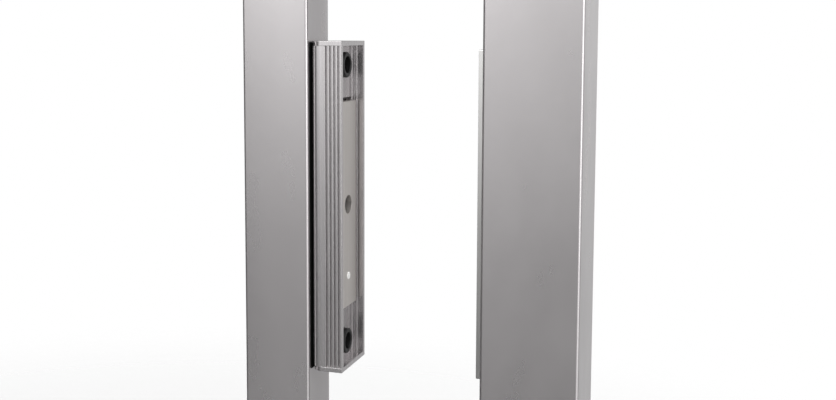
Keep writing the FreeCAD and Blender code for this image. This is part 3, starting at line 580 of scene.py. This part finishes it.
collar_long = (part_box("upper_fixing_collar")[1].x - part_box("upper_fixing_collar")[0].x) / MM
screw_bore, collar_bore, collar_rim, collar_floor = 4.1, 7.25, 11, 3.0
collar_profile = [(screw_bore, 0), (collar_rim, 0), (collar_rim, collar_long), (collar_bore, collar_long),
                  (collar_bore, collar_floor), (screw_bore, collar_floor)]
for which in ("upper", "lower"):
    turned_part(which + "_collar", which + "_fixing_collar", (1, 0, 0), collar_profile,
                (0.2, 0.4, 1.2, 0.8, 0.3, 0.2), "black_plastic")

roller_wide, flange, dish = 24, 6.6, 2.5
hub_bore, hub_rim, dish_start, dish_end, tread_start, groove_floor, roller_rim = 8.1, 12, 14, 19, 21, 23.5, 30
half_roller = [(hub_bore, 0), (hub_rim, 0), (dish_start, dish), (dish_end, dish), (tread_start, 0),
               (roller_rim, 0), (roller_rim, flange), (groove_floor, flange)]
roller_profile = half_roller + [(radius, roller_wide - at) for radius, at in reversed(half_roller)]
bush_bore, bush_rim = 5.05, 8.05
for which in ("front", "rear"):
    turned_part(which + "_wheel_body", which + "_roller", (0, 1, 0), roller_profile, 1.0, "nylon")
    turned_part(which + "_wheel_bush", which + "_roller_bush", (0, 1, 0),
                ring_profile(bush_bore, bush_rim, roller_wide), 0.4, "bronze")

cable_bore, grommet_waist, grommet_lip, lip_thick, grommet_long = 5, 8, 11, 2, 7
half_grommet = [(cable_bore, 0), (grommet_lip, 0), (grommet_lip, lip_thick), (grommet_waist, lip_thick)]
grommet_profile = half_grommet + [(radius, grommet_long - at) for radius, at in reversed(half_grommet)]
turned_part("cable_entry_grommet", "cable_grommet", (0, 1, 0), grommet_profile, 0.8, "black_rubber")
buffer_radius, buffer_long = 10, 10
turned_part("domed_buffer", "stop_buffer", (1, 0, 0), ring_profile(0, buffer_radius, buffer_long),
            (0.0, 0.5, 5.0, 0.0), "black_rubber")
print("round parts are in place")

# %% [markdown]
# ## Release pin and its spring
# The white pin pushes the armature off the magnet when the current stops. Its nose is slightly domed. The
# spring behind it is a helix: x runs evenly while the wire goes round, and a small circle carried along that
# path, turned to stay square to it, is the wire. In the real lock the coil shortens as the pin goes in. Here
# it keeps its length and rides on the armature.

# %% Release pin
pin_low, pin_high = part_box("release_pin")
pin_long = (pin_high.x - pin_low.x) / MM
stem_radius, nose_radius, flange_radius, flange_thick = 1.4, 3.2, 4.4, 1.2
shoulder_depth, flange_rest_gap = 3.0, 0.05
flange_at = pin_long - (pin_high.x - plate_high.x) / MM - shoulder_depth - flange_rest_gap
turned_part("release_pin_nose", "release_pin", (1, 0, 0), [
    (0, 0), (stem_radius, 0), (stem_radius, flange_at - flange_thick),
    (flange_radius, flange_at - flange_thick), (flange_radius, flange_at), (nose_radius, flange_at),
    (nose_radius, pin_long), (0, pin_long)], (0, 0.2, 0.1, 0.2, 0.2, 0.1, 0.9, 0), "white_plastic")
print("release pin is", round(pin_long, 2), "mm long")

# %% Release spring
spring_low, spring_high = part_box("release_spring")
wire = 0.4 * MM
spring_turns = 3.0
coil_radius = (spring_high.z - spring_low.z) / 2 - wire


def helix_wire(steps_per_turn=32, sides=10):
    """Tube round a helix: centre c(a) = (x, R cos a, R sin a), ring = c + w (cos b n + sin b m)."""
    angle = np.linspace(0, 2 * math.pi * spring_turns, int(spring_turns * steps_per_turn) + 1)
    x = np.linspace(spring_low.x + wire, spring_high.x - wire, len(angle))
    out = np.column_stack([np.zeros_like(angle), np.cos(angle), np.sin(angle)])
    centre = np.column_stack([x, np.zeros_like(x), np.zeros_like(x)]) + coil_radius * out
    centre += np.array([0, (spring_low.y + spring_high.y) / 2, (spring_low.z + spring_high.z) / 2])
    tangent = np.gradient(centre, axis=0)
    tangent /= np.linalg.norm(tangent, axis=1)[:, None]
    across = np.cross(tangent, out)
    turn = np.linspace(0, 2 * math.pi, sides, endpoint=False)
    ring = np.cos(turn)[None, :, None] * out[:, None] + np.sin(turn)[None, :, None] * across[:, None]
    return centre[:, None] + wire * ring


spring = grid_piece("release_coil", helix_wire())
place(spring, "armature", "stainless_steel", "release_spring")
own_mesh(spring)
print("spring wire points:", len(spring.data.vertices))

# %% [markdown]
# ## Weld bead
# The post is welded to its base plate. A weld bead is a row of overlapping puddles: its section is close to
# a quarter circle, and its size ripples along the seam. The path is the outline of the tube, and the ripple
# is r = r0 (0.9 + 0.1 cos(2 pi s / pitch)).

# %% Weld bead
def weld_bead(name, low, high, z, leg, body):
    """Rippled fillet weld round the foot of a rectangular tube."""
    corner, step_long, ripple_pitch = 2.5 * MM, 0.7 * MM, 2.4 * MM
    square = [(low.x, low.y), (high.x, low.y), (high.x, high.y), (low.x, high.y)]
    rounded = soften(square, corner, 6)
    steps = []
    for start, end in zip(rounded, np.roll(rounded, -1, axis=0)):
        count = max(1, int(np.linalg.norm(end - start) / step_long))
        steps.append(start + (end - start) * np.linspace(0, 1, count, endpoint=False)[:, None])
    path = np.concatenate(steps)
    along = np.roll(path, -1, axis=0) - np.roll(path, 1, axis=0)
    along /= np.linalg.norm(along, axis=1)[:, None]
    outward = np.column_stack([along[:, 1], -along[:, 0]])
    distance = np.cumsum(np.linalg.norm(np.roll(path, -1, axis=0) - path, axis=1))
    size = leg * (0.9 + 0.1 * np.cos(2 * math.pi * distance / ripple_pitch))
    section = np.array([(-0.15, -0.15), (0.55, -0.12), (0.92, 0.03), (0.80, 0.38), (0.55, 0.64),
                        (0.30, 0.86), (0.02, 0.95), (-0.15, 0.5)])
    flat = path[:, None] + outward[:, None] * (section[None, :, 0] * size[:, None])[..., None]
    height = z + section[None, :, 1] * size[:, None]
    points = np.concatenate([flat, height[..., None]], axis=2)
    return place(grid_piece(name, points, wrap_rows=True), body, "powder_coated_tube")


weld_bead("post_weld", post_low, post_high, post_low.z, 4.0 * MM, "post")
print("the weld bead is in place")

# %% [markdown]
# ## Floor, world and lamps
# A pale disc catches the contact shadows and fades out before its edge, so that it has no horizon. The
# world is white where the camera sees it. For lighting it is a studio: a bright screen in front that is dark
# low down, darkness on the left, and a tall bright screen on the right. Upright metal faces show that as one
# long soft gradient with bright right corners. Three softboxes add what the world can't.

# %% Floor
def pale_floor():
    """Disc under the object whose cover fades with the distance from the middle."""
    radius, rings, columns = 1.6, 24, 96
    middle = (Vector(cad_box[0]) + Vector(cad_box[1])) / 2
    r = np.linspace(0.0, radius, rings)[:, None]
    a = np.linspace(0, 2 * math.pi, columns, endpoint=False)[None, :]
    depth = np.full((rings, columns), -0.5 * MM)
    points = np.stack([middle.x + r * np.cos(a), middle.y + r * np.sin(a), depth], -1)
    disc = grid_piece("floor", points, cap_ends=False)
    paint = bpy.data.materials.new("pale_floor")
    paint.use_nodes = True
    nodes, links = paint.node_tree.nodes, paint.node_tree.links
    shader = nodes["Principled BSDF"]
    shader.inputs["Roughness"].default_value = 0.8
    shader.inputs["Base Color"].default_value = (0.86, 0.86, 0.86, 1)
    shader.inputs["Emission Color"].default_value = (1, 1, 1, 1)
    shader.inputs["Emission Strength"].default_value = 0.12
    coordinates = nodes.new("ShaderNodeTexCoord")
    centred = nodes.new("ShaderNodeMapping")
    centred.inputs["Location"].default_value = (-middle.x, -middle.y, 0)
    length = nodes.new("ShaderNodeVectorMath")
    length.operation = "LENGTH"
    fade = nodes.new("ShaderNodeMapRange")
    fade.interpolation_type = "SMOOTHSTEP"
    fade.inputs["From Min"].default_value = 0.6
    fade.inputs["From Max"].default_value = 1.5
    clear = nodes.new("ShaderNodeBsdfTransparent")
    mix = nodes.new("ShaderNodeMixShader")
    links.new(coordinates.outputs["Object"], centred.inputs["Vector"])
    links.new(centred.outputs["Vector"], length.inputs[0])
    links.new(length.outputs["Value"], fade.inputs["Value"])
    links.new(fade.outputs["Result"], mix.inputs["Fac"])
    links.new(shader.outputs["BSDF"], mix.inputs[1])
    links.new(clear.outputs["BSDF"], mix.inputs[2])
    links.new(mix.outputs["Shader"], nodes["Material Output"].inputs["Surface"])
    disc.data.materials.append(paint)
    disc.visible_glossy = False
    return disc


floor = pale_floor()
print("floor:", floor.name)

# %% World
world = bpy.data.worlds.new("studio")
world.use_nodes = True
bpy.context.scene.world = world
wn, wl = world.node_tree.nodes, world.node_tree.links
seen = wn["Background"]
seen.inputs["Color"].default_value = (1.0, 1.0, 1.0, 1)
seen.inputs["Strength"].default_value = 1.0
lit = wn.new("ShaderNodeBackground")
sky = wn.new("ShaderNodeTexCoord")
split = wn.new("ShaderNodeSeparateXYZ")
wl.new(sky.outputs["Generated"], split.inputs["Vector"])


def sky_level(value, low, high, stops):
    """Grey level over a value between low and high."""
    unit = wn.new("ShaderNodeMapRange")
    unit.inputs["From Min"].default_value = low
    unit.inputs["From Max"].default_value = high
    ramp = wn.new("ShaderNodeValToRGB")
    first, last = ramp.color_ramp.elements[0], ramp.color_ramp.elements[1]
    first.position, first.color = 0.0, (stops[0][1],) * 3 + (1,)
    last.position, last.color = 1.0, (stops[-1][1],) * 3 + (1,)
    for at, level in stops[1:-1]:
        ramp.color_ramp.elements.new((at - low) / (high - low)).color = (level, level, level, 1)
    wl.new(value, unit.inputs["Value"])
    wl.new(unit.outputs["Result"], ramp.inputs["Fac"])
    return ramp.outputs["Color"]


def sky_math(operation, first, second):
    """Product or sum of two grey levels."""
    node = wn.new("ShaderNodeVectorMath")
    node.operation = operation
    wl.new(first, node.inputs[0])
    wl.new(second, node.inputs[1])
    return node.outputs["Vector"]


towards_front = wn.new("ShaderNodeMath")
towards_front.operation = "MULTIPLY"
towards_front.inputs[1].default_value = -1.0
wl.new(split.outputs["Y"], towards_front.inputs[0])
bearing = wn.new("ShaderNodeMath")
bearing.operation = "ARCTAN2"
wl.new(split.outputs["X"], bearing.inputs[0])
wl.new(towards_front.outputs[0], bearing.inputs[1])
turn = wn.new("ShaderNodeMath")
turn.operation = "DEGREES"
wl.new(bearing.outputs[0], turn.inputs[0])

height_level = sky_level(split.outputs["Z"], -1, 1, [
    (-1, 0.16), (-0.45, 0.16), (-0.24, 0.14), (-0.12, 0.34), (0.0, 0.86), (0.07, 1.0), (1, 1.0)])
front_level = sky_level(turn.outputs[0], -180, 180, [
    (-180, 0.12), (-150, 0.04), (-95, 0.07), (-60, 0.04), (-46, 0.06), (-34, 0.50), (-26, 1.0), (-20, 0.92),
    (-10, 0.60), (0, 0.54), (20, 0.55), (45, 0.5), (120, 0.1), (180, 0.12)])
side_level = sky_level(turn.outputs[0], -180, 180, [
    (-180, 0.25), (-165, 0.05), (-140, 0.01), (-40, 0.01), (25, 0.05), (45, 0.60), (100, 0.60), (118, 0.10),
    (148, 0.16), (168, 0.40), (180, 0.30)])
wl.new(sky_math("ADD", sky_math("MULTIPLY", height_level, front_level), side_level), lit.inputs["Color"])
lit.inputs["Strength"].default_value = 1.7
path = wn.new("ShaderNodeLightPath")
blend = wn.new("ShaderNodeMixShader")
wl.new(path.outputs["Is Camera Ray"], blend.inputs["Fac"])
wl.new(lit.outputs["Background"], blend.inputs[1])
wl.new(seen.outputs["Background"], blend.inputs[2])
wl.new(blend.outputs["Shader"], wn["World Output"].inputs["Surface"])
bpy.context.scene.view_settings.view_transform = "Standard"
bpy.context.scene.view_settings.look = "None"
print("world:", world.name)

# %% Lamps
def softbox(name, place_at, aim, width, height, watts):
    """Rectangular area lamp aimed at a point and not seen by the camera."""
    lamp = bpy.data.lights.new(name, "AREA")
    lamp.shape = "RECTANGLE"
    lamp.size, lamp.size_y = width, height
    lamp.energy = watts
    thing = bpy.data.objects.new(name, lamp)
    thing.location = place_at
    thing.rotation_euler = (Vector(aim) - Vector(place_at)).to_track_quat("-Z", "Y").to_euler()
    thing.visible_camera = False
    bpy.context.scene.collection.objects.link(thing)
    return thing


softbox("top_front", lock_middle + Vector((-0.75, -1.5, 0.95)), lock_middle + Vector((0, 0, 0.1)), 1.3, 0.7,
        10.0)
softbox("right_strip", lock_middle + Vector((1.7, -0.75, 0.35)), lock_middle, 0.5, 1.5, 7.0)
softbox("above", lock_middle + Vector((0.0, -0.3, 1.3)), lock_middle, 1.4, 0.8, 10.0)
print("lamps: 3")
